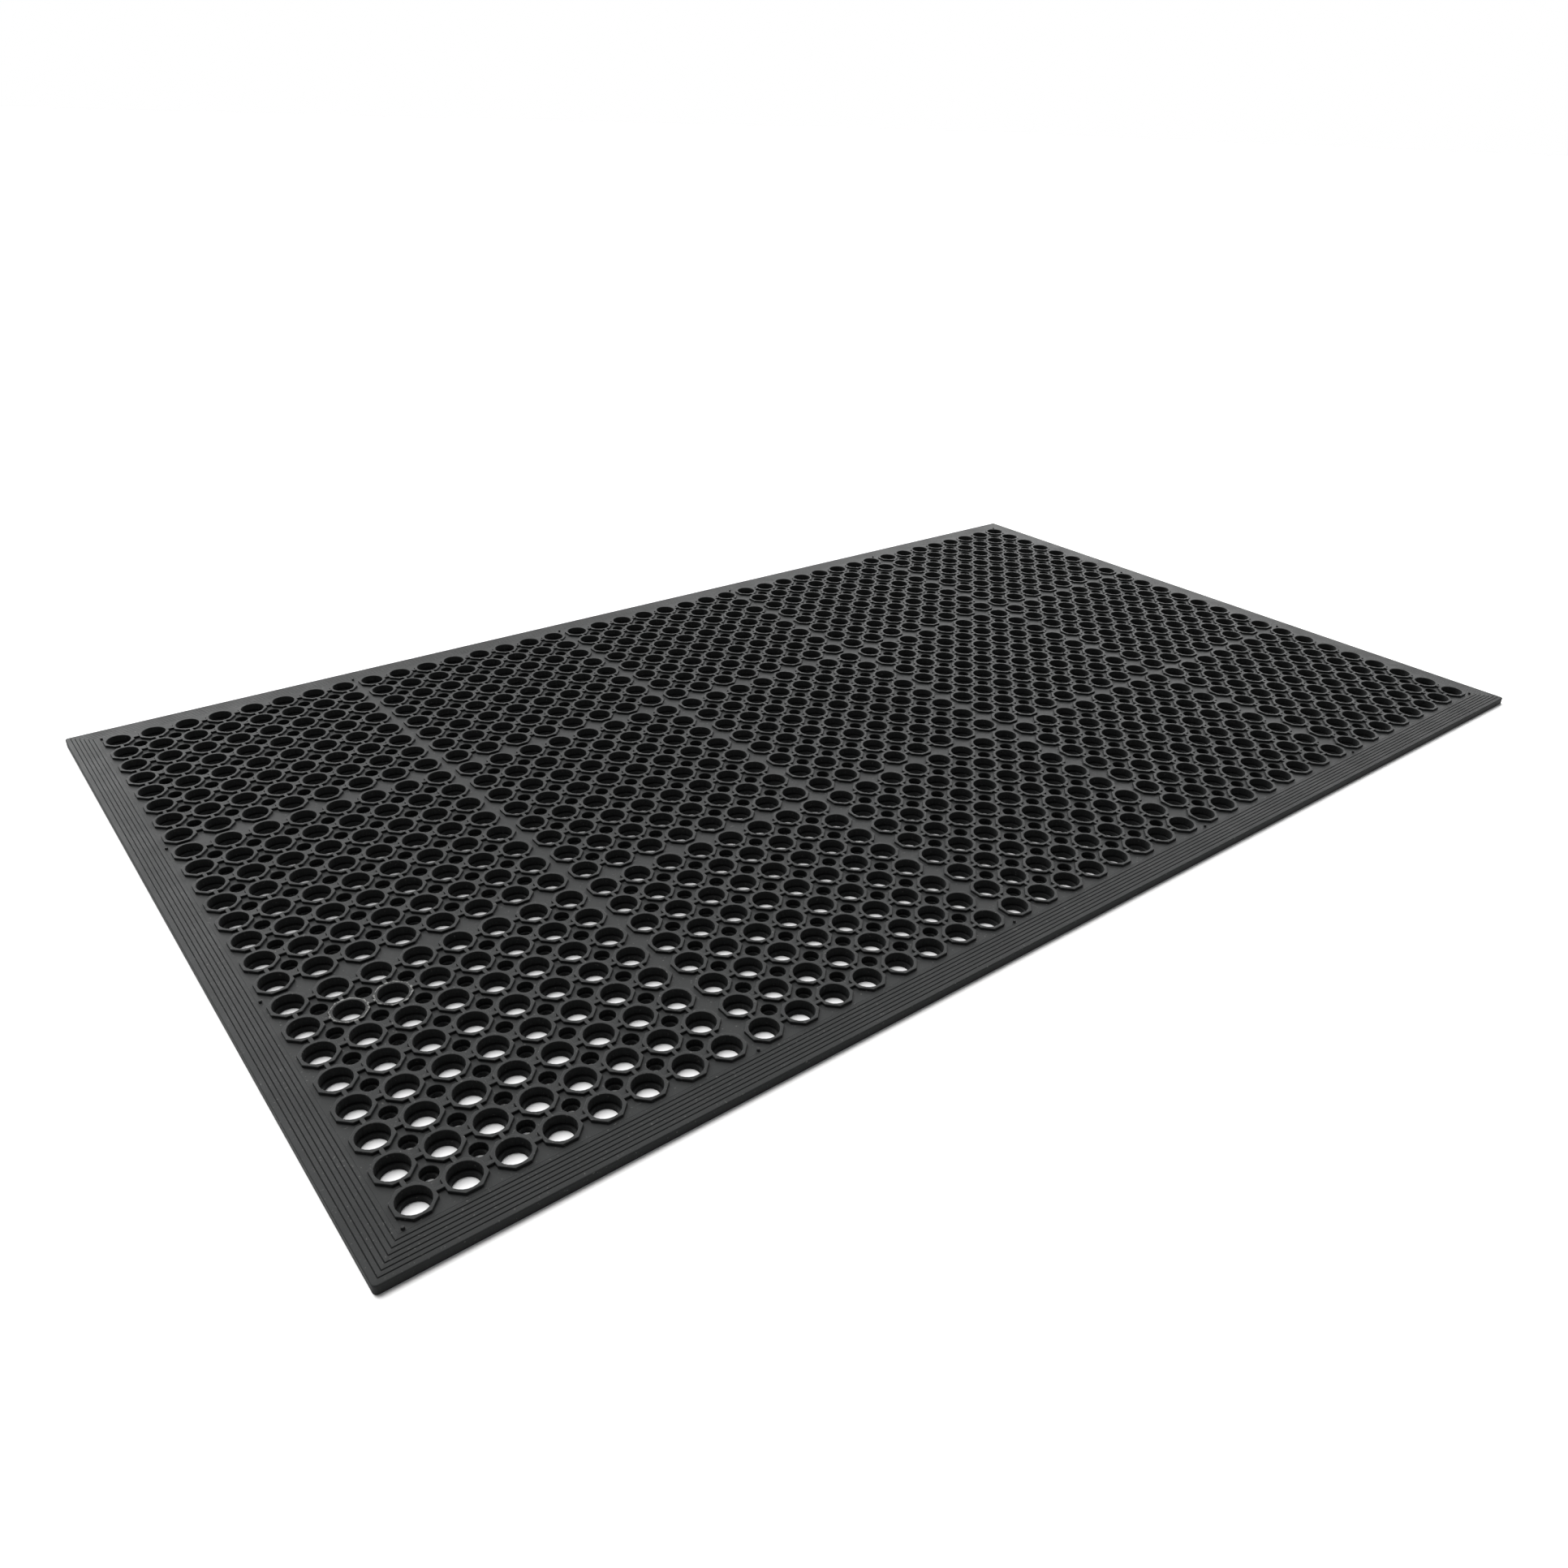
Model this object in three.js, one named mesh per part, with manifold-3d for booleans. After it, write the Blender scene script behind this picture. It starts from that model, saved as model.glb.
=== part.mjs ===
// A rubber drainage mat, 1524 x 914.4 x 12.7 mm (60 x 36 x 1/2 in), lying flat on its underside.
// Millimetres, +Z up. The origin is the middle of the underside. The long side runs along X.
//
// The real mat is one moulding. It is divided here into five strips that touch face to face along the
// middle of the plain lanes between its panels of holes, so that each strip stays a light mesh.

import * as THREE from 'three';
import { mergeGeometries, mergeVertices } from 'three/addons/utils/BufferGeometryUtils.js';
import Module from 'manifold-3d';

// Overall size
const matLength = 1524;
const matWidth = 914.4;
const matThickness = 12.7;

// Drainage holes: 5 x 3 panels of 8 x 8 holes, with a plain lane in place of small holes between panels
const panelsAlong = 5;
const panelsAcross = 3;
const holesPerPanelSide = 8;
const edgeToFirstHole = 47;
const holeDiameterTop = 25.4;
const holeDiameterBottom = 20;

// A hole keeps its real open area, but its wall has this many flat sides
const holeSides = 5;

// The raised field: the rims round the holes stand above the lands, the lanes and the border
const rimWidth = 2.6;
const rimHeight = 2.4;

// The border: a level band next to the field, then a slope down to the outer edge with ribbing in it
const outerEdgeHeight = 8.3;
const slopeWidth = 27.2;
const grooveCount = 6;
const firstGrooveFromEdge = 5.2;
const grooveSpacing = 3.9;
const grooveWidth = 1;
const grooveDepth = 0.65;

// How far a cutter runs past the face that it cuts
const cutPast = 2;

const rubber = new THREE.MeshStandardMaterial({ color: 0x38393a, roughness: 0.82, metalness: 0 });

// Sizes that follow from the ones above
const landHeight = matThickness - rimHeight;
const columns = panelsAlong * holesPerPanelSide;
const rows = panelsAcross * holesPerPanelSide;
const pitchAlong = (matLength - 2 * edgeToFirstHole) / (columns - 1);
const pitchAcross = (matWidth - 2 * edgeToFirstHole) / (rows - 1);
const rimReach = holeDiameterTop / 2 + rimWidth;

const holeX = (column) => edgeToFirstHole - matLength / 2 + column * pitchAlong;
const holeY = (row) => edgeToFirstHole - matWidth / 2 + row * pitchAcross;

const wasm = await Module();
wasm.setup();

function solidFrom(geometry) {
  const bare = geometry.index ? geometry.toNonIndexed() : geometry.clone();
  bare.deleteAttribute('normal');
  bare.deleteAttribute('uv');
  const welded = mergeVertices(bare);
  const mesh = new wasm.Mesh({
    numProp: 3,
    vertProperties: new Float32Array(welded.attributes.position.array),
    triVerts: new Uint32Array(welded.index.array),
  });
  return new wasm.Manifold(mesh);
}

function geometryFrom(solid) {
  const mesh = solid.getMesh();
  const geometry = new THREE.BufferGeometry();
  geometry.setAttribute('position', new THREE.BufferAttribute(mesh.vertProperties, mesh.numProp));
  geometry.setIndex(new THREE.BufferAttribute(mesh.triVerts, 1));
  geometry.computeVertexNormals();
  return geometry;
}

// A box whose faces lie exactly at the given coordinates, so that neighbours can share a face
function boxBetween(low, high) {
  const box = new THREE.BoxGeometry();
  const corners = box.attributes.position;
  for (let corner = 0; corner < corners.count; corner += 1) {
    corners.setX(corner, corners.getX(corner) < 0 ? low.x : high.x);
    corners.setY(corner, corners.getY(corner) < 0 ? low.y : high.y);
    corners.setZ(corner, corners.getZ(corner) < 0 ? low.z : high.z);
  }
  return box;
}

// Height of the border's sloping top at a distance in from the outer edge
function slopeHeight(fromEdge) {
  return outerEdgeHeight + (landHeight - outerEdgeHeight) * (fromEdge / slopeWidth);
}

// The border's section, from the foot of the outer face up and inwards: distance in from the edge, and height
function borderSection() {
  const section = [
    { inset: 0, height: 0 },
    { inset: 0, height: outerEdgeHeight },
  ];
  for (let groove = 0; groove < grooveCount; groove += 1) {
    const middle = firstGrooveFromEdge + groove * grooveSpacing;
    const near = middle - grooveWidth / 2;
    const far = middle + grooveWidth / 2;
    section.push({ inset: near, height: slopeHeight(near) });
    section.push({ inset: middle, height: slopeHeight(middle) - grooveDepth });
    section.push({ inset: far, height: slopeHeight(far) });
  }
  section.push({ inset: slopeWidth, height: landHeight });
  return section;
}

// A closed slab whose four sides follow one section, mitred at the corners
function slabWithBorder(section) {
  const positions = [];
  for (const { inset, height } of section) {
    const x = matLength / 2 - inset;
    const y = matWidth / 2 - inset;
    positions.push(-x, -y, height, x, -y, height, x, y, height, -x, y, height);
  }
  const index = [0, 2, 1, 0, 3, 2];
  const cornerCount = 4;
  for (let ring = 0; ring < section.length - 1; ring += 1) {
    for (let corner = 0; corner < cornerCount; corner += 1) {
      const a = ring * cornerCount + corner;
      const b = ring * cornerCount + ((corner + 1) % cornerCount);
      index.push(a, b, b + cornerCount, a, b + cornerCount, a + cornerCount);
    }
  }
  const top = (section.length - 1) * cornerCount;
  index.push(top, top + 1, top + 2, top, top + 2, top + 3);
  const geometry = new THREE.BufferGeometry();
  geometry.setAttribute('position', new THREE.Float32BufferAttribute(positions, 3));
  geometry.setIndex(index);
  return geometry;
}

// The raised field of one panel, which takes in the rims of its outermost holes
function panelField(panelAlong, panelAcross) {
  const firstColumn = panelAlong * holesPerPanelSide;
  const firstRow = panelAcross * holesPerPanelSide;
  const low = new THREE.Vector3(holeX(firstColumn) - rimReach, holeY(firstRow) - rimReach, landHeight / 2);
  const high = new THREE.Vector3(
    holeX(firstColumn + holesPerPanelSide - 1) + rimReach,
    holeY(firstRow + holesPerPanelSide - 1) + rimReach,
    matThickness,
  );
  return boxBetween(low, high);
}

// One hole's cutter: it narrows downwards, and its area at each face is that of the round hole
function holeCutter(column, row) {
  const circleArea = Math.PI;
  const polygonArea = (holeSides / 2) * Math.sin((2 * Math.PI) / holeSides);
  const cornerPerRadius = Math.sqrt(circleArea / polygonArea);
  const taper = (holeDiameterTop - holeDiameterBottom) / 2 / matThickness;
  const radiusAbove = cornerPerRadius * (holeDiameterTop / 2 + taper * cutPast);
  const radiusBelow = cornerPerRadius * (holeDiameterBottom / 2 - taper * cutPast);
  const height = matThickness + 2 * cutPast;
  return new THREE.CylinderGeometry(radiusAbove, radiusBelow, height, holeSides)
    .rotateX(Math.PI / 2)
    .translate(holeX(column), holeY(row), matThickness / 2);
}

// The middle of the lane on the low side of a panel, or the outside of the mat at its two ends
function stripEdge(panelAlong) {
  if (panelAlong === 0) {
    return -matLength / 2 - cutPast;
  }
  if (panelAlong === panelsAlong) {
    return matLength / 2 + cutPast;
  }
  return holeX(panelAlong * holesPerPanelSide) - pitchAlong / 2;
}

function strip(slab, panelAlong) {
  const low = new THREE.Vector3(stripEdge(panelAlong), -matWidth / 2 - cutPast, -cutPast);
  const high = new THREE.Vector3(stripEdge(panelAlong + 1), matWidth / 2 + cutPast, matThickness + cutPast);
  let solid = slab.intersect(solidFrom(boxBetween(low, high)));

  const fields = [];
  for (let panelAcross = 0; panelAcross < panelsAcross; panelAcross += 1) {
    fields.push(panelField(panelAlong, panelAcross));
  }
  solid = solid.add(solidFrom(mergeGeometries(fields)));

  const cutters = [];
  const firstColumn = panelAlong * holesPerPanelSide;
  for (let column = firstColumn; column < firstColumn + holesPerPanelSide; column += 1) {
    for (let row = 0; row < rows; row += 1) {
      cutters.push(holeCutter(column, row));
    }
  }
  return solid.subtract(solidFrom(mergeGeometries(cutters)));
}

const mat = new THREE.Group();
mat.name = 'drainage_mat';

const slab = solidFrom(slabWithBorder(borderSection()));
for (let panelAlong = 0; panelAlong < panelsAlong; panelAlong += 1) {
  const mesh = new THREE.Mesh(geometryFrom(strip(slab, panelAlong)), rubber.clone());
  mesh.name = `mat_strip_${panelAlong + 1}`;
  mat.add(mesh);
}

export default mat;
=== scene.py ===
# %% [markdown]
# # A moulded rubber drainage mat
# The mat is one sheet of black rubber, pressed in a mould: panels of round holes that let water through,
# a raised rim round each hole to stand on, and a ribbed border that slopes down to the floor.
# The script starts from the engineered solids. They give the size of the mat and the places of its five
# strips, and the box they fill is kept, because the finished mat has to fill the same box.

# %% Load the solids
import math

import bmesh
import bpy
from mathutils import Matrix, Quaternion, Vector


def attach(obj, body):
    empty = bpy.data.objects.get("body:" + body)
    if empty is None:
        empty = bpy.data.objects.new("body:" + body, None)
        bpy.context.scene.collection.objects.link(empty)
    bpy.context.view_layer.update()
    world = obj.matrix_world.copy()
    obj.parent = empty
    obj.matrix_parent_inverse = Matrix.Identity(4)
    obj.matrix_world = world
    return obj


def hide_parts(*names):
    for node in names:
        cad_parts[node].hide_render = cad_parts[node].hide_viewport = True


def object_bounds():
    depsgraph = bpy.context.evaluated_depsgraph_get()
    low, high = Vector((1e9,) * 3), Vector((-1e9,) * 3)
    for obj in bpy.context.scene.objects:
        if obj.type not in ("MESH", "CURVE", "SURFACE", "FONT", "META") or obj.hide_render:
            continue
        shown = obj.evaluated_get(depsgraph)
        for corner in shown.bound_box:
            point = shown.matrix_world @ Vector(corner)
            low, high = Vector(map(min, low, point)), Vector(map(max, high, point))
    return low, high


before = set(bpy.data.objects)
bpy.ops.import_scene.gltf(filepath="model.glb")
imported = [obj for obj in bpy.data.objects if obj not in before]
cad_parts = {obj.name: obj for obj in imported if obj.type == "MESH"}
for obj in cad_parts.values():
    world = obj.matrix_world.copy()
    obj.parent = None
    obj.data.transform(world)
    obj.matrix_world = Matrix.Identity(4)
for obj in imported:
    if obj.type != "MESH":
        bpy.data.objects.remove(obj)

solids_box = [list(corner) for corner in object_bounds()]
strip_names = sorted(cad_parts)

# %% [markdown]
# ## The sizes
# Blender works in metres and the mould was drawn in millimetres, so each size is written in millimetres
# and multiplied by MM. The overall size comes from the solids. The holes stand on a regular grid, so the
# spacing follows from the first hole's distance to the edge and the number of holes.

# %% Name the sizes
MM = 0.001
LENGTH = solids_box[1][0] - solids_box[0][0]
WIDTH = solids_box[1][1] - solids_box[0][1]
TOP = solids_box[1][2]

COLUMNS = 40
ROWS = 24
PANEL_HOLES = 8
EDGE_TO_HOLE = 47 * MM
PITCH_X = (LENGTH - 2 * EDGE_TO_HOLE) / (COLUMNS - 1)
PITCH_Y = (WIDTH - 2 * EDGE_TO_HOLE) / (ROWS - 1)
HALF_X = PITCH_X / 2
HALF_Y = PITCH_Y / 2

RIM_HEIGHT = 2.4 * MM
LAND = TOP - RIM_HEIGHT
LEDGE = 4.2 * MM
RIM_REACH = 15.3 * MM
RIB_WIDTH = 3.6 * MM
MOULD_ROUNDING = 0.5 * MM
print("hole spacing in mm:", round(PITCH_X / MM, 2), "by", round(PITCH_Y / MM, 2))

# %% [markdown]
# ## Camera
# The photograph looks down across one corner of the mat with a fairly wide lens, and is held a little
# askew. The lens length, the place and the aim were worked out from the rows of holes, which make a
# perfect ruler. The picture is square, so the sensor is too, and no lens shift is needed.

# %% Place the camera
SENSOR = 36.0
LENS = 27.66
EYE = Vector((-883.4, -997.7, 651.6)) * MM
AIM = Vector((-147.6, -85.4, 0.0)) * MM
ROLL = math.radians(1.85)
CLIP_NEAR = 0.05
CLIP_FAR = 200.0

camera_data = bpy.data.cameras.new("camera")
camera_data.sensor_width = SENSOR
camera_data.sensor_height = SENSOR
camera_data.lens = LENS
camera_data.clip_start = CLIP_NEAR
camera_data.clip_end = CLIP_FAR
camera = bpy.data.objects.new("camera", camera_data)
bpy.context.scene.collection.objects.link(camera)
bpy.context.scene.camera = camera
camera.location = EYE
camera.rotation_mode = "QUATERNION"
camera.rotation_quaternion = (AIM - EYE).to_track_quat("-Z", "Y") @ Quaternion((0, 0, 1), ROLL)
print("camera to aim in metres:", round((AIM - EYE).length, 3))

# %% [markdown]
# ## A quarter of one hole
# A thousand holes would be slow to model one by one, and a boolean cut for each would leave an untidy
# mesh. But the mat repeats, and the smallest part that repeats is a quarter of one hole's square. Four
# mirrored quarters make a hole with its rim. So only the quarter is modelled.
#
# The bore is spun from its section: a wide upper wall, a ledge two thirds of the way down, and a narrower
# lower wall. The small drain hole at the far corner is spun the same way.

# %% Spin the bores
BORE = [(10.0 * MM, 0.0), (10.2 * MM, LEDGE), (12.5 * MM, LEDGE), (12.7 * MM, TOP)]
SMALL_BORE = [(4.8 * MM, 0.0), (4.95 * MM, LEDGE), (6.9 * MM, LEDGE), (7.1 * MM, LAND)]
BORE_STEPS = 6
SMALL_BORE_STEPS = 4
QUARTER_TURN = math.pi / 2
CLOSE = 0.001 * MM


def spin_quarter(bm, centre, start, section, steps):
    """Spins a section of (radius, height) points through a quarter turn about an upright axis."""
    out = Vector((math.cos(start), math.sin(start), 0))
    points = [bm.verts.new(centre + out * radius + Vector((0, 0, height))) for radius, height in section]
    lines = [bm.edges.new(pair) for pair in zip(points, points[1:])]
    bmesh.ops.spin(
        bm,
        geom=points + lines,
        cent=centre,
        axis=(0, 0, 1),
        angle=QUARTER_TURN,
        steps=steps,
        use_merge=False,
    )


def from_x_to_y(verts):
    """The vertices in order of their angle about the hole's axis, from the X side to the Y side."""
    return sorted(verts, key=lambda vert: math.atan2(vert.co.y, vert.co.x))


def arc(bm, centre, radius, height):
    """The vertices of one ring of a spun bore."""
    on_ring = [
        vert
        for vert in bm.verts
        if abs(vert.co.z - height) < CLOSE and abs((vert.co - centre).xy.length - radius) < CLOSE
    ]
    return from_x_to_y(on_ring)


# %% [markdown]
# The rim is an octagon with one flat towards each neighbour. Where the neighbour belongs to the same
# panel, a rib runs from that flat to the neighbour's rim. At the side of a panel there is no rib and no
# small hole, only the plain lane or the border. So there are four kinds of quarter, and two yes-or-no
# questions choose between them: is there a neighbour along, and is there one across?
#
# The level faces are filled between the rings, and then the top edges get the small rounding that a
# mould leaves. Level faces keep a hard edge in the shading, so that they stay truly flat to the eye.

# %% Model the four kinds of quarter
# Half the side of an octagon whose sides are 1 from its centre
OCTAGON_HALF_SIDE = math.tan(math.pi / 8)
ROUNDING_SEGMENTS = 2
ROUND_PROFILE = 0.5
ROUNDED_FROM = math.radians(60)
QUARTER_HARD_FROM = math.radians(50)
LEVEL_NORMAL = 0.999


def rim_outline(rib_along, rib_across):
    """The rim's outline in plan, from the X side to the Y side."""
    corner = RIM_REACH * OCTAGON_HALF_SIDE
    half_rib = RIB_WIDTH / 2
    start = [(HALF_X, half_rib), (RIM_REACH, half_rib)] if rib_along else [(RIM_REACH, 0.0)]
    end = [(half_rib, RIM_REACH), (half_rib, HALF_Y)] if rib_across else [(0.0, RIM_REACH)]
    return start + [(RIM_REACH, corner), (corner, RIM_REACH)] + end


def raise_rim(bm, outline):
    """Stands the rim's outer wall on its outline, and returns its vertices at the foot and at the top."""
    foot = [bm.verts.new((x, y, LAND)) for x, y in outline]
    lines = [bm.edges.new(pair) for pair in zip(foot, foot[1:])]
    raised = bmesh.ops.extrude_edge_only(bm, edges=lines)["geom"]
    top = [item for item in raised if isinstance(item, bmesh.types.BMVert)]
    bmesh.ops.translate(bm, verts=top, vec=(0, 0, TOP - LAND))
    return foot, from_x_to_y(top)


def sharpen(bm, steepest):
    """Keeps a hard edge round level faces and where two faces meet at more than the given angle."""
    for edge in bm.edges:
        if len(edge.link_faces) == 2:
            level = [abs(face.normal.z) > LEVEL_NORMAL for face in edge.link_faces]
            edge.smooth = level[0] == level[1] and edge.calc_face_angle() < steepest


def quarter_hole(rib_along, rib_across):
    """A quarter of one hole and of all that lies round it, with the hole's axis at the origin."""
    bm = bmesh.new()
    axis = Vector((0, 0, 0))
    far_corner = Vector((HALF_X, HALF_Y, 0))
    small_hole = rib_along and rib_across

    spin_quarter(bm, axis, 0.0, BORE, BORE_STEPS)
    bore_bottom = arc(bm, axis, *BORE[0])
    bore_top = arc(bm, axis, *BORE[-1])
    if small_hole:
        spin_quarter(bm, far_corner, math.pi, SMALL_BORE, SMALL_BORE_STEPS)
        corner_bottom = arc(bm, far_corner, *SMALL_BORE[0])
        corner_top = arc(bm, far_corner, *SMALL_BORE[-1])
    else:
        corner_bottom = [bm.verts.new((HALF_X, HALF_Y, 0.0))]
        corner_top = [bm.verts.new((HALF_X, HALF_Y, LAND))]

    foot, top = raise_rim(bm, rim_outline(rib_along, rib_across))
    along = bm.verts.new((HALF_X, 0.0, TOP if rib_along else LAND))
    across = bm.verts.new((0.0, HALF_Y, TOP if rib_across else LAND))
    # Each of the two points lies in the rim where there is a rib, and in the land where there is none.
    rim = [along] * rib_along + top + [across] * rib_across + bore_top[::-1]
    land = [along] * (not rib_along) + corner_top + [across] * (not rib_across) + foot[::-1]
    along_below = bm.verts.new((HALF_X, 0.0, 0.0))
    across_below = bm.verts.new((0.0, HALF_Y, 0.0))
    underside = [along_below] + corner_bottom + [across_below] + bore_bottom[::-1]

    rim_face = bm.faces.new(rim)
    bm.faces.new(land)
    bm.faces.new(underside[::-1])
    bmesh.ops.recalc_face_normals(bm, faces=bm.faces)
    if rim_face.normal.z < 0:
        bmesh.ops.reverse_faces(bm, faces=bm.faces)

    top_edges = [
        edge
        for edge in bm.edges
        if len(edge.link_faces) == 2
        and edge.is_convex
        and min(vert.co.z for vert in edge.verts) > LAND - CLOSE
        and edge.calc_face_angle() > ROUNDED_FROM
    ]
    bmesh.ops.bevel(
        bm,
        geom=top_edges,
        offset=MOULD_ROUNDING,
        offset_type="OFFSET",
        affect="EDGES",
        segments=ROUNDING_SEGMENTS,
        profile=ROUND_PROFILE,
        material=-1,
        clamp_overlap=True,
    )
    bm.normal_update()
    sharpen(bm, QUARTER_HARD_FROM)
    mesh = bpy.data.meshes.new("quarter_hole")
    bm.to_mesh(mesh)
    bm.free()
    return mesh


quarters = {
    (rib_along, rib_across): quarter_hole(rib_along, rib_across)
    for rib_along in (True, False)
    for rib_across in (True, False)
}
for ribs, quarter in quarters.items():
    print("quarter with ribs", ribs, "has", len(quarter.polygons), "faces")

# %% [markdown]
# ## A panel of 8 by 8 holes
# The quarters are placed mirrored, four to a hole. An Array modifier would need a separate object for
# each kind of quarter, so a short loop is simpler here. A mirrored copy is inside out, and its faces are
# turned back. Then the vertices that meet are merged into one skin.

# %% Join the quarters into a panel
def place(bm, mesh, matrix):
    """Adds a placed copy of a mesh to a bmesh. A mirrored copy is inside out, and is turned back."""
    copy = mesh.copy()
    copy.transform(matrix)
    if matrix.determinant() < 0:
        copy.flip_normals()
    bm.from_mesh(copy)
    bpy.data.meshes.remove(copy)


def build_panel():
    """A panel with the axis of its first hole at the origin."""
    bm = bmesh.new()
    for column in range(PANEL_HOLES):
        for row in range(PANEL_HOLES):
            for side_x in (-1, 1):
                for side_y in (-1, 1):
                    rib_along = 0 <= column + side_x < PANEL_HOLES
                    rib_across = 0 <= row + side_y < PANEL_HOLES
                    matrix = Matrix.Translation((column * PITCH_X, row * PITCH_Y, 0))
                    matrix = matrix @ Matrix.Diagonal((side_x, side_y, 1, 1))
                    place(bm, quarters[rib_along, rib_across], matrix)
    bmesh.ops.remove_doubles(bm, verts=bm.verts, dist=CLOSE)
    mesh = bpy.data.meshes.new("panel")
    bm.to_mesh(mesh)
    bm.free()
    return mesh


panel = build_panel()
print("panel faces:", len(panel.polygons))

# %% [markdown]
# ## The border
# The border is one section carried round the mat, with its corners mitred like a picture frame. From the
# floor up it has an upright outer face with a rounded top, a long gentle slope with six V-shaped grooves
# for grip and grime, and a level band next to the holes, where a faint line shows the mould's joint.
# A curve with a bevel profile could do it, but its mitres can't be controlled as well as rows of vertices
# that are bridged one after another.

# %% Draw the border's section
EDGE_HEIGHT = 8.3 * MM
EDGE_ROUNDING = 1.0 * MM
FOOT_CHAMFER = 0.3 * MM
SLOPE_WIDTH = 27.2 * MM
GROOVES = 6
FIRST_GROOVE = 5.2 * MM
GROOVE_SPACING = 3.9 * MM
GROOVE_WIDTH = 1.0 * MM
GROOVE_DEPTH = 0.65 * MM
JOINT_LINE = 28.2 * MM
JOINT_LINE_WIDTH = 0.4 * MM
JOINT_LINE_DEPTH = 0.12 * MM
PLAN_ROUNDING = 3.6 * MM
FIELD_X = EDGE_TO_HOLE - HALF_X
FIELD_Y = EDGE_TO_HOLE - HALF_Y
EDGE_TURNS = [math.radians(degrees) for degrees in (0, 30, 60, 90)]


def slope_height(inset):
    """Height of the sloping top at a distance in from the outer edge."""
    return EDGE_HEIGHT + (LAND - EDGE_HEIGHT) * (inset - EDGE_ROUNDING) / (SLOPE_WIDTH - EDGE_ROUNDING)


def border_section():
    """Points of (inset from the ends, inset from the sides, height), from the underside to the top."""
    outline = [(FOOT_CHAMFER, 0.0), (0.0, FOOT_CHAMFER)]
    for turn in EDGE_TURNS:
        inset = EDGE_ROUNDING * (1 - math.cos(turn))
        outline.append((inset, EDGE_HEIGHT - EDGE_ROUNDING * (1 - math.sin(turn))))
    for groove in range(GROOVES):
        middle = FIRST_GROOVE + groove * GROOVE_SPACING
        outline.append((middle - GROOVE_WIDTH / 2, slope_height(middle - GROOVE_WIDTH / 2)))
        outline.append((middle, slope_height(middle) - GROOVE_DEPTH))
        outline.append((middle + GROOVE_WIDTH / 2, slope_height(middle + GROOVE_WIDTH / 2)))
    outline.append((SLOPE_WIDTH, LAND))
    outline.append((JOINT_LINE - JOINT_LINE_WIDTH / 2, LAND))
    outline.append((JOINT_LINE, LAND - JOINT_LINE_DEPTH))
    outline.append((JOINT_LINE + JOINT_LINE_WIDTH / 2, LAND))
    mitred = [(inset, inset, height) for inset, height in outline]
    return [(FIELD_X, FIELD_Y, 0.0)] + mitred + [(FIELD_X, FIELD_Y, LAND)]


section = border_section()
print("points in the border's section:", len(section))

# %% [markdown]
# Each row of vertices is the section stood up at one place along the border. On a straight side it moves
# along the edge. At a corner the outermost points turn round a small arc, and the rest meet in the mitre.

# %% Carry the section round
def side_row(x, side_y):
    """The section across a long side at a place x. side_y is -1 at the near side and 1 at the far side."""
    return [Vector((x, side_y * (WIDTH / 2 - inset_y), height)) for _, inset_y, height in section]


def corner_row(side_x, side_y, turn):
    """The section at a corner, turned from the long side towards the short end."""
    row = []
    for inset_x, inset_y, height in section:
        if inset_x < PLAN_ROUNDING:
            radius = PLAN_ROUNDING - inset_x
            x = LENGTH / 2 - PLAN_ROUNDING + radius * math.sin(turn)
            y = WIDTH / 2 - PLAN_ROUNDING + radius * math.cos(turn)
        else:
            x = LENGTH / 2 - inset_x
            y = WIDTH / 2 - inset_y
        row.append(Vector((side_x * x, side_y * y, height)))
    return row


def bridge_rows(bm, rows_and_cuts):
    """Joins each row of points to the row before it with faces, and cuts those faces across."""
    previous = []
    for row, cuts in rows_and_cuts:
        points = [bm.verts.new(spot) for spot in row]
        lines = [bm.edges.new(pair) for pair in zip(points, points[1:])]
        if previous:
            bridged = bmesh.ops.bridge_loops(bm, edges=previous + lines)
            if cuts:
                bmesh.ops.subdivide_edges(bm, edges=bridged["edges"], cuts=cuts, use_grid_fill=True)
        previous = lines


CORNER_TURNS = [math.radians(degrees) for degrees in (0, 22.5, 45, 67.5, 90)]
CUTS_ALONG = 2 * PANEL_HOLES - 1
CUTS_ACROSS = 2 * ROWS - 1


def middle_border(bm, low_x, high_x):
    """The two straight lengths of border of a middle strip."""
    for side_y in (-1, 1):
        bridge_rows(bm, [(side_row(low_x, side_y), 0), (side_row(high_x, side_y), CUTS_ALONG)])


def end_border(bm, side_x, inner_x):
    """The border of an end strip: along one side, round the end, and back along the other side."""
    rows = [(side_row(inner_x, -1), 0), (corner_row(side_x, -1, CORNER_TURNS[0]), CUTS_ALONG)]
    rows += [(corner_row(side_x, -1, turn), 0) for turn in CORNER_TURNS[1:]]
    rows += [(corner_row(side_x, 1, CORNER_TURNS[-1]), CUTS_ACROSS)]
    rows += [(corner_row(side_x, 1, turn), 0) for turn in CORNER_TURNS[-2::-1]]
    rows += [(side_row(inner_x, 1), CUTS_ALONG)]
    bridge_rows(bm, rows)


# %% [markdown]
# ## The nubs
# Where the air left the mould, a little rubber followed it. It stands as a small round nub at each corner
# of the field of holes and at both ends of each plain lane.

# %% Model the nubs
NUB_RADIUS = 1.6 * MM
NUB_TOP_RADIUS = 1.3 * MM
NUB_HEIGHT = 2.2 * MM
NUB_ROOT = 0.5 * MM
NUB_ROUNDING = 0.4 * MM
NUB_SIDES = 10
NUB_FROM_HOLES = 16.5 * MM
CORNER_NUB_INSET = 2.0 * MM


def hole_x(column):
    """Place of a column of holes along the mat. Half a column more is the middle between two."""
    return EDGE_TO_HOLE - LENGTH / 2 + column * PITCH_X


def hole_y(row):
    """Place of a row of holes across the mat."""
    return EDGE_TO_HOLE - WIDTH / 2 + row * PITCH_Y


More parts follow.
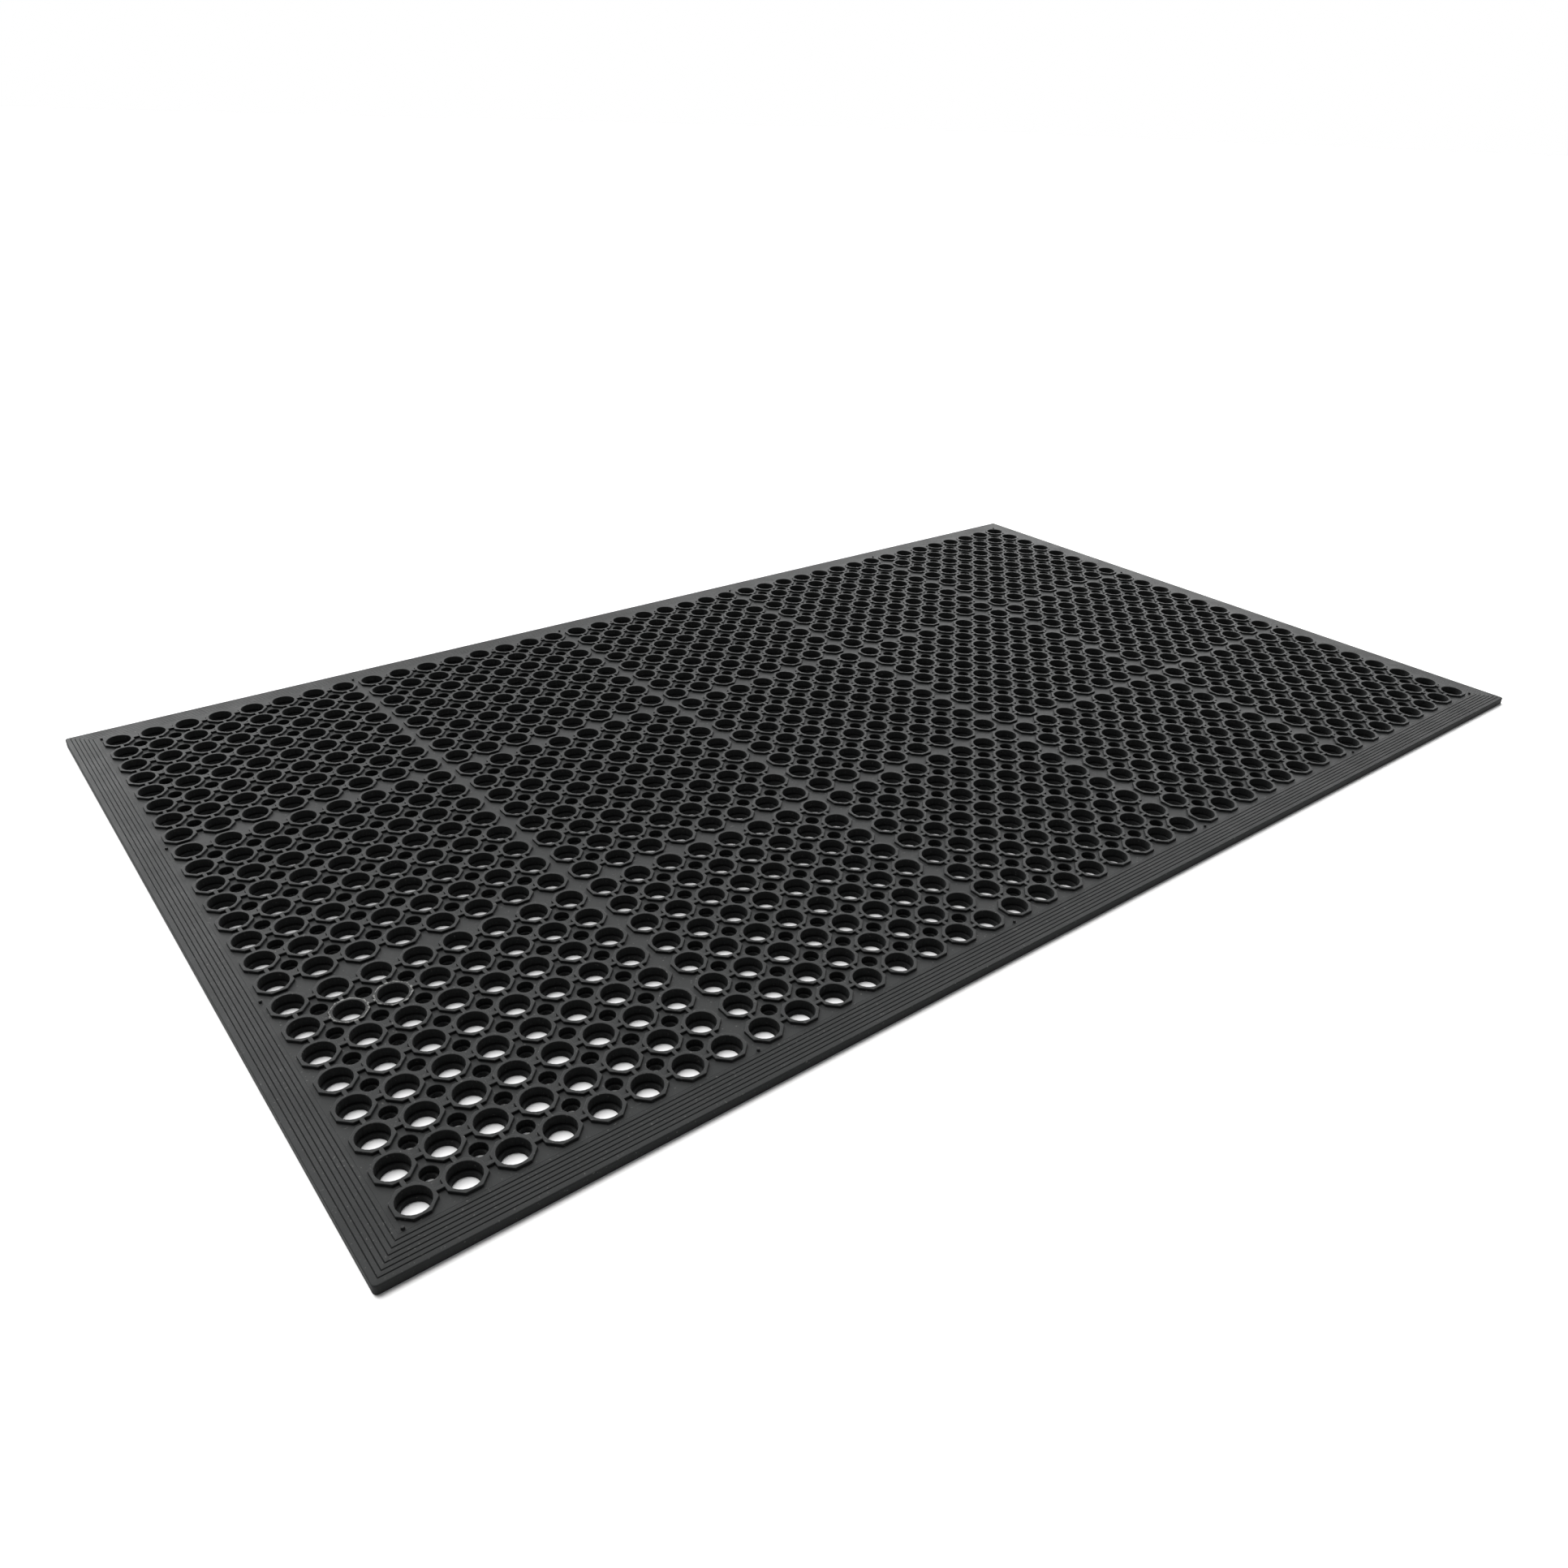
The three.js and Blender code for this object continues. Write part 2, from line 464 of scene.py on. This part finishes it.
def nub_places():
    """The nubs' places in plan: the corners of the field, and the ends of the lanes."""
    end_x = hole_x(COLUMNS - 1) + NUB_FROM_HOLES
    end_y = hole_y(ROWS - 1) + NUB_FROM_HOLES
    corner_x = end_x - CORNER_NUB_INSET
    places = [(side_x * corner_x, side_y * end_y) for side_x in (-1, 1) for side_y in (-1, 1)]
    for lane in range(PANEL_HOLES, COLUMNS, PANEL_HOLES):
        places += [(hole_x(lane - 0.5), side_y * end_y) for side_y in (-1, 1)]
    for lane in range(PANEL_HOLES, ROWS, PANEL_HOLES):
        places += [(side_x * end_x, hole_y(lane - 0.5)) for side_x in (-1, 1)]
    return places


def add_nub(bm, x, y):
    """One nub, rooted a little way into the rubber."""
    middle = LAND + (NUB_HEIGHT - NUB_ROOT) / 2
    made = bmesh.ops.create_cone(
        bm,
        cap_ends=True,
        segments=NUB_SIDES,
        radius1=NUB_RADIUS,
        radius2=NUB_TOP_RADIUS,
        depth=NUB_HEIGHT + NUB_ROOT,
        matrix=Matrix.Translation((x, y, middle)),
    )
    crown = [
        edge
        for edge in bm.edges
        if edge.verts[0] in made["verts"] and min(vert.co.z for vert in edge.verts) > LAND + NUB_HEIGHT / 2
    ]
    bmesh.ops.bevel(
        bm,
        geom=crown,
        offset=NUB_ROUNDING,
        affect="EDGES",
        segments=ROUNDING_SEGMENTS,
        profile=ROUND_PROFILE,
        material=-1,
    )


# %% [markdown]
# ## The five strips
# The whole mat has more than half a million triangles, so it is kept in five pieces, one for each solid
# strip. They meet in the middle of the plain lanes, where the surface is level and no seam shows. Each
# cut end is closed, so that every piece is a sound body by itself. A nub that stands on a cut belongs to
# the strip before it.

# %% Assemble the strips
STRIP_HARD_FROM = math.radians(40)
LITRES_IN_CUBIC_METRE = 1000


def build_strip(name, number):
    """The finished mesh of one strip, counted from 0 at the low end of X."""
    bm = bmesh.new()
    first_column = number * PANEL_HOLES
    for first_row in range(0, ROWS, PANEL_HOLES):
        place(bm, panel, Matrix.Translation((hole_x(first_column), hole_y(first_row), 0)))
    low_x = hole_x(first_column) - HALF_X
    high_x = hole_x(first_column + PANEL_HOLES - 1) + HALF_X
    if number == 0:
        end_border(bm, -1, high_x)
    elif number == len(strip_names) - 1:
        end_border(bm, 1, low_x)
    else:
        middle_border(bm, low_x, high_x)
    bmesh.ops.remove_doubles(bm, verts=bm.verts, dist=CLOSE)
    bmesh.ops.dissolve_degenerate(bm, edges=bm.edges, dist=CLOSE)
    open_edges = [edge for edge in bm.edges if edge.is_boundary]
    bmesh.ops.holes_fill(bm, edges=open_edges, sides=0)
    bmesh.ops.recalc_face_normals(bm, faces=bm.faces)
    still_open = sum(not edge.is_manifold for edge in bm.edges)
    for x, y in nub_places():
        if low_x + CLOSE < x < high_x + CLOSE:
            add_nub(bm, x, y)
    bm.normal_update()
    sharpen(bm, STRIP_HARD_FROM)

    mesh = bpy.data.meshes.new(name + "_rubber")
    bm.to_mesh(mesh)
    volume = bm.calc_volume()
    bm.free()
    piece = bpy.data.objects.new(name + "_rubber", mesh)
    bpy.context.scene.collection.objects.link(piece)
    mesh.calc_loop_triangles()
    print(piece.name, "triangles:", len(mesh.loop_triangles), "open edges:", still_open)
    print(piece.name, "volume in litres:", round(volume * LITRES_IN_CUBIC_METRE, 3))
    return piece


strips = [build_strip(name, number) for number, name in enumerate(strip_names)]

# %% [markdown]
# ## The rubber
# The material is natural rubber filled with carbon black and pressed in a steel mould. It takes on the
# mould's fine grain, so it is matt seen from above and only shines softly at a low angle. Colours are
# given as sRGB hex values, as in a colour picker, and one function turns them to the linear values that
# the shader works with.

# %% Prepare colours and nodes
def linear(hex_colour):
    """An sRGB hex value such as 3A3B3C as a linear colour with alpha, by the sRGB standard's curve."""
    colour = []
    for start in (0, 2, 4):
        level = int(hex_colour[start : start + 2], 16) / 255
        colour.append(level / 12.92 if level <= 0.04045 else ((level + 0.055) / 1.055) ** 2.4)
    return colour + [1.0]


def add_node(tree, kind, inputs, **settings):
    """Adds a node, and gives each named input a value or a link from another node's output."""
    node = tree.nodes.new(kind)
    for name, value in settings.items():
        setattr(node, name, value)
    for name, value in inputs.items():
        if isinstance(value, bpy.types.NodeSocket):
            tree.links.new(value, node.inputs[name])
        else:
            node.inputs[name].default_value = value
    return node


# %% [markdown]
# Two patterns give the surface its life. A slow mottling, a few centimetres wide, is how the rubber flowed
# and cured. A fine grain comes from the blasted steel of the mould: the real one is about 0.2 mm, and it
# is drawn at 0.6 mm so that it shows at all in a picture of the whole mat.
#
# Carbon black takes nearly all the light, and the blasted grain scatters most of the gloss that is left.
# So the colour is very dark, the roughness is high and the specular level is well under its default.

# %% Mix the rubber
MOTTLE_SIZE = 45 * MM
GRAIN_SIZE = 0.6 * MM
GRAIN_DEPTH = 0.05 * MM
GRAIN_STRENGTH = 0.6
LEAST_ROUGHNESS = 0.6
MOST_ROUGHNESS = 0.7
DARK_RUBBER = "171818"
PALE_RUBBER = "1F2020"
# The place of the colour among the results of a Mix node
MIXED_COLOUR = 2

rubber = bpy.data.materials.new("moulded_black_rubber")
rubber.use_nodes = True
tree = rubber.node_tree
tree.nodes.clear()
place_on_mat = add_node(tree, "ShaderNodeTexCoord", {}).outputs["Object"]
mottle = add_node(
    tree,
    "ShaderNodeTexNoise",
    {"Vector": place_on_mat, "Scale": 1 / MOTTLE_SIZE, "Detail": 5.0, "Roughness": 0.6},
)
grain = add_node(
    tree, "ShaderNodeTexNoise", {"Vector": place_on_mat, "Scale": 1 / GRAIN_SIZE, "Detail": 2.0}
)
black = add_node(
    tree,
    "ShaderNodeMix",
    {"Factor": mottle.outputs["Fac"], "A": linear(DARK_RUBBER), "B": linear(PALE_RUBBER)},
    data_type="RGBA",
)
gloss = add_node(
    tree,
    "ShaderNodeMapRange",
    {
        "Value": mottle.outputs["Fac"],
        "From Min": 0.3,
        "From Max": 0.7,
        "To Min": LEAST_ROUGHNESS,
        "To Max": MOST_ROUGHNESS,
    },
)
relief = add_node(
    tree,
    "ShaderNodeBump",
    {"Height": grain.outputs["Fac"], "Strength": GRAIN_STRENGTH, "Distance": GRAIN_DEPTH},
)

# %% [markdown]
# Black rubber shows every mark. Two neighbouring rims near one corner are scuffed grey where something was
# dragged across them. The scuff is a ring: at the rim's outer edge, by its distance from the hole's axis,
# on the very top of the rim, and broken up by a noise. A thin scatter of pale dust lies all over the mat.

# %% Add the scuffs and the dust
SCUFFED_HOLES = [(1, 6), (2, 6)]
SCUFF_WIDTH = 0.9 * MM
SCUFF_STARTS_BELOW_TOP = 0.6 * MM
SCUFF_FULL_BELOW_TOP = 0.1 * MM
SCUFF_BREAKS = 2.5 * MM
SCUFF_COVER = 0.9
SCUFF_GREY = "666664"
DUST_SPACING = 2.2 * MM
DUST_COVER = 0.4
DUST_GREY = "5C5C5A"

in_plan = add_node(
    tree, "ShaderNodeVectorMath", {0: place_on_mat, 1: (1.0, 1.0, 0.0)}, operation="MULTIPLY"
).outputs["Vector"]
from_axes = [
    add_node(
        tree,
        "ShaderNodeVectorMath",
        {0: in_plan, 1: (hole_x(column), hole_y(row), 0.0)},
        operation="DISTANCE",
    ).outputs["Value"]
    for column, row in SCUFFED_HOLES
]
nearest_axis = add_node(
    tree, "ShaderNodeMath", {0: from_axes[0], 1: from_axes[1]}, operation="MINIMUM"
)
from_edge = add_node(
    tree,
    "ShaderNodeMath",
    {0: nearest_axis.outputs["Value"], 1: RIM_REACH, 2: SCUFF_WIDTH},
    operation="COMPARE",
)
height = add_node(tree, "ShaderNodeSeparateXYZ", {"Vector": place_on_mat}).outputs["Z"]
on_top = add_node(
    tree,
    "ShaderNodeMapRange",
    {"Value": height, "From Min": TOP - SCUFF_STARTS_BELOW_TOP, "From Max": TOP - SCUFF_FULL_BELOW_TOP},
)
breaks = add_node(
    tree, "ShaderNodeTexNoise", {"Vector": place_on_mat, "Scale": 1 / SCUFF_BREAKS, "Detail": 3.0}
)
unbroken = add_node(
    tree,
    "ShaderNodeMapRange",
    {"Value": breaks.outputs["Fac"], "From Min": 0.4, "From Max": 0.6, "To Max": SCUFF_COVER},
)
ring_top = add_node(
    tree,
    "ShaderNodeMath",
    {0: from_edge.outputs["Value"], 1: on_top.outputs["Result"]},
    operation="MULTIPLY",
)
scuff = add_node(
    tree,
    "ShaderNodeMath",
    {0: ring_top.outputs["Value"], 1: unbroken.outputs["Result"]},
    operation="MULTIPLY",
)
specks = add_node(
    tree, "ShaderNodeTexNoise", {"Vector": place_on_mat, "Scale": 1 / DUST_SPACING, "Detail": 1.0}
)
dust = add_node(
    tree,
    "ShaderNodeMapRange",
    {"Value": specks.outputs["Fac"], "From Min": 0.68, "From Max": 0.8, "To Max": DUST_COVER},
)
scuffed = add_node(
    tree,
    "ShaderNodeMix",
    {"Factor": scuff.outputs["Value"], "A": black.outputs[MIXED_COLOUR], "B": linear(SCUFF_GREY)},
    data_type="RGBA",
)
dusty = add_node(
    tree,
    "ShaderNodeMix",
    {"Factor": dust.outputs["Result"], "A": scuffed.outputs[MIXED_COLOUR], "B": linear(DUST_GREY)},
    data_type="RGBA",
)

# %% Finish the rubber
REFRACTIVE_INDEX = 1.52
SPECULAR_LEVEL = 0.09

shader = add_node(
    tree,
    "ShaderNodeBsdfPrincipled",
    {
        "Base Color": dusty.outputs[MIXED_COLOUR],
        "Roughness": gloss.outputs["Result"],
        "IOR": REFRACTIVE_INDEX,
        "Specular IOR Level": SPECULAR_LEVEL,
        "Normal": relief.outputs["Normal"],
    },
)
add_node(tree, "ShaderNodeOutputMaterial", {"Surface": shader.outputs["BSDF"]})

for piece, name in zip(strips, strip_names):
    piece.data.materials.append(rubber)
    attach(piece, "root")
    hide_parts(name)

# %% [markdown]
# ## Floor and light
# The mat lies on a plain pale floor that runs out of sight. The light is that of a photographer's white
# room with its large soft windows behind the mat and to the right. It skims over the rubber towards the
# camera, which brings out the sheen, and leaves the walls that face the camera dark.
#
# Each of the five soft lights is a sun with a wide disc, as if it were a big diffuser far away. It
# lights the whole floor evenly, so the floor stays as pale at the horizon as beside the mat. Beyond
# it the room is white near the horizon and dimmer higher up.

# %% Lay the floor
FLOOR_HALF = 60.0
FLOOR_DROP = 0.05 * MM
FLOOR_WHITE = "E8E8E8"

floor_mesh = bpy.data.meshes.new("floor")
floor_bm = bmesh.new()
floor_place = Matrix.Translation((0, 0, -FLOOR_DROP))
bmesh.ops.create_grid(floor_bm, x_segments=1, y_segments=1, size=FLOOR_HALF, matrix=floor_place)
floor_bm.to_mesh(floor_mesh)
floor_bm.free()
floor = bpy.data.objects.new("floor", floor_mesh)
bpy.context.scene.collection.objects.link(floor)

floor_paint = bpy.data.materials.new("matt_white_paint")
floor_paint.use_nodes = True
floor_tree = floor_paint.node_tree
floor_tree.nodes.clear()
floor_shader = add_node(floor_tree, "ShaderNodeBsdfDiffuse", {"Color": linear(FLOOR_WHITE)})
add_node(floor_tree, "ShaderNodeOutputMaterial", {"Surface": floor_shader.outputs["BSDF"]})
floor_mesh.materials.append(floor_paint)

# %% Light the room
ROOM_LIGHT = 0.25
HORIZON_LIGHT = 1.0
HORIZON_UP_TO = 0.1
ROOM_FROM = 0.3
ROOM_WHITE = "FFFFFF"


def soft_light(name, tilt, azimuth, spread, brightness):
    """A wide sun. Tilt is from overhead and azimuth from +X, both in degrees, and so is the spread.

    From straight overhead, brightness 1 makes a white floor white.
    """
    data = bpy.data.lights.new(name, "SUN")
    data.angle = math.radians(spread)
    data.energy = math.pi * brightness
    lamp = bpy.data.objects.new(name, data)
    bpy.context.scene.collection.objects.link(lamp)
    lamp.rotation_euler = (0.0, math.radians(tilt), math.radians(azimuth))


soft_light("high_behind", tilt=26, azimuth=90, spread=40, brightness=1.25)
soft_light("middle_behind", tilt=60, azimuth=95, spread=40, brightness=0.85)
soft_light("low_behind", tilt=78, azimuth=90, spread=30, brightness=0.4)
soft_light("right_window", tilt=60, azimuth=20, spread=40, brightness=0.5)
soft_light("far_right_window", tilt=76, azimuth=42, spread=40, brightness=0.8)

world = bpy.data.worlds.new("white_room")
world.use_nodes = True
world_tree = world.node_tree
world_tree.nodes.clear()
direction = add_node(world_tree, "ShaderNodeTexCoord", {}).outputs["Generated"]
rise = add_node(world_tree, "ShaderNodeSeparateXYZ", {"Vector": direction}).outputs["Z"]
wall_light = add_node(
    world_tree,
    "ShaderNodeMapRange",
    {
        "Value": rise,
        "From Min": HORIZON_UP_TO,
        "From Max": ROOM_FROM,
        "To Min": HORIZON_LIGHT,
        "To Max": ROOM_LIGHT,
    },
)
room = add_node(
    world_tree,
    "ShaderNodeBackground",
    {"Color": linear(ROOM_WHITE), "Strength": wall_light.outputs["Result"]},
)
add_node(world_tree, "ShaderNodeOutputWorld", {"Surface": room.outputs["Background"]})
bpy.context.scene.world = world
bpy.context.scene.view_settings.view_transform = "Standard"

# %% [markdown]
# ## The solids' size
# The finished mat has to fill the same box as the solids. The solids' box is printed.

# %% Print the solids' box
print("solids:", solids_box)
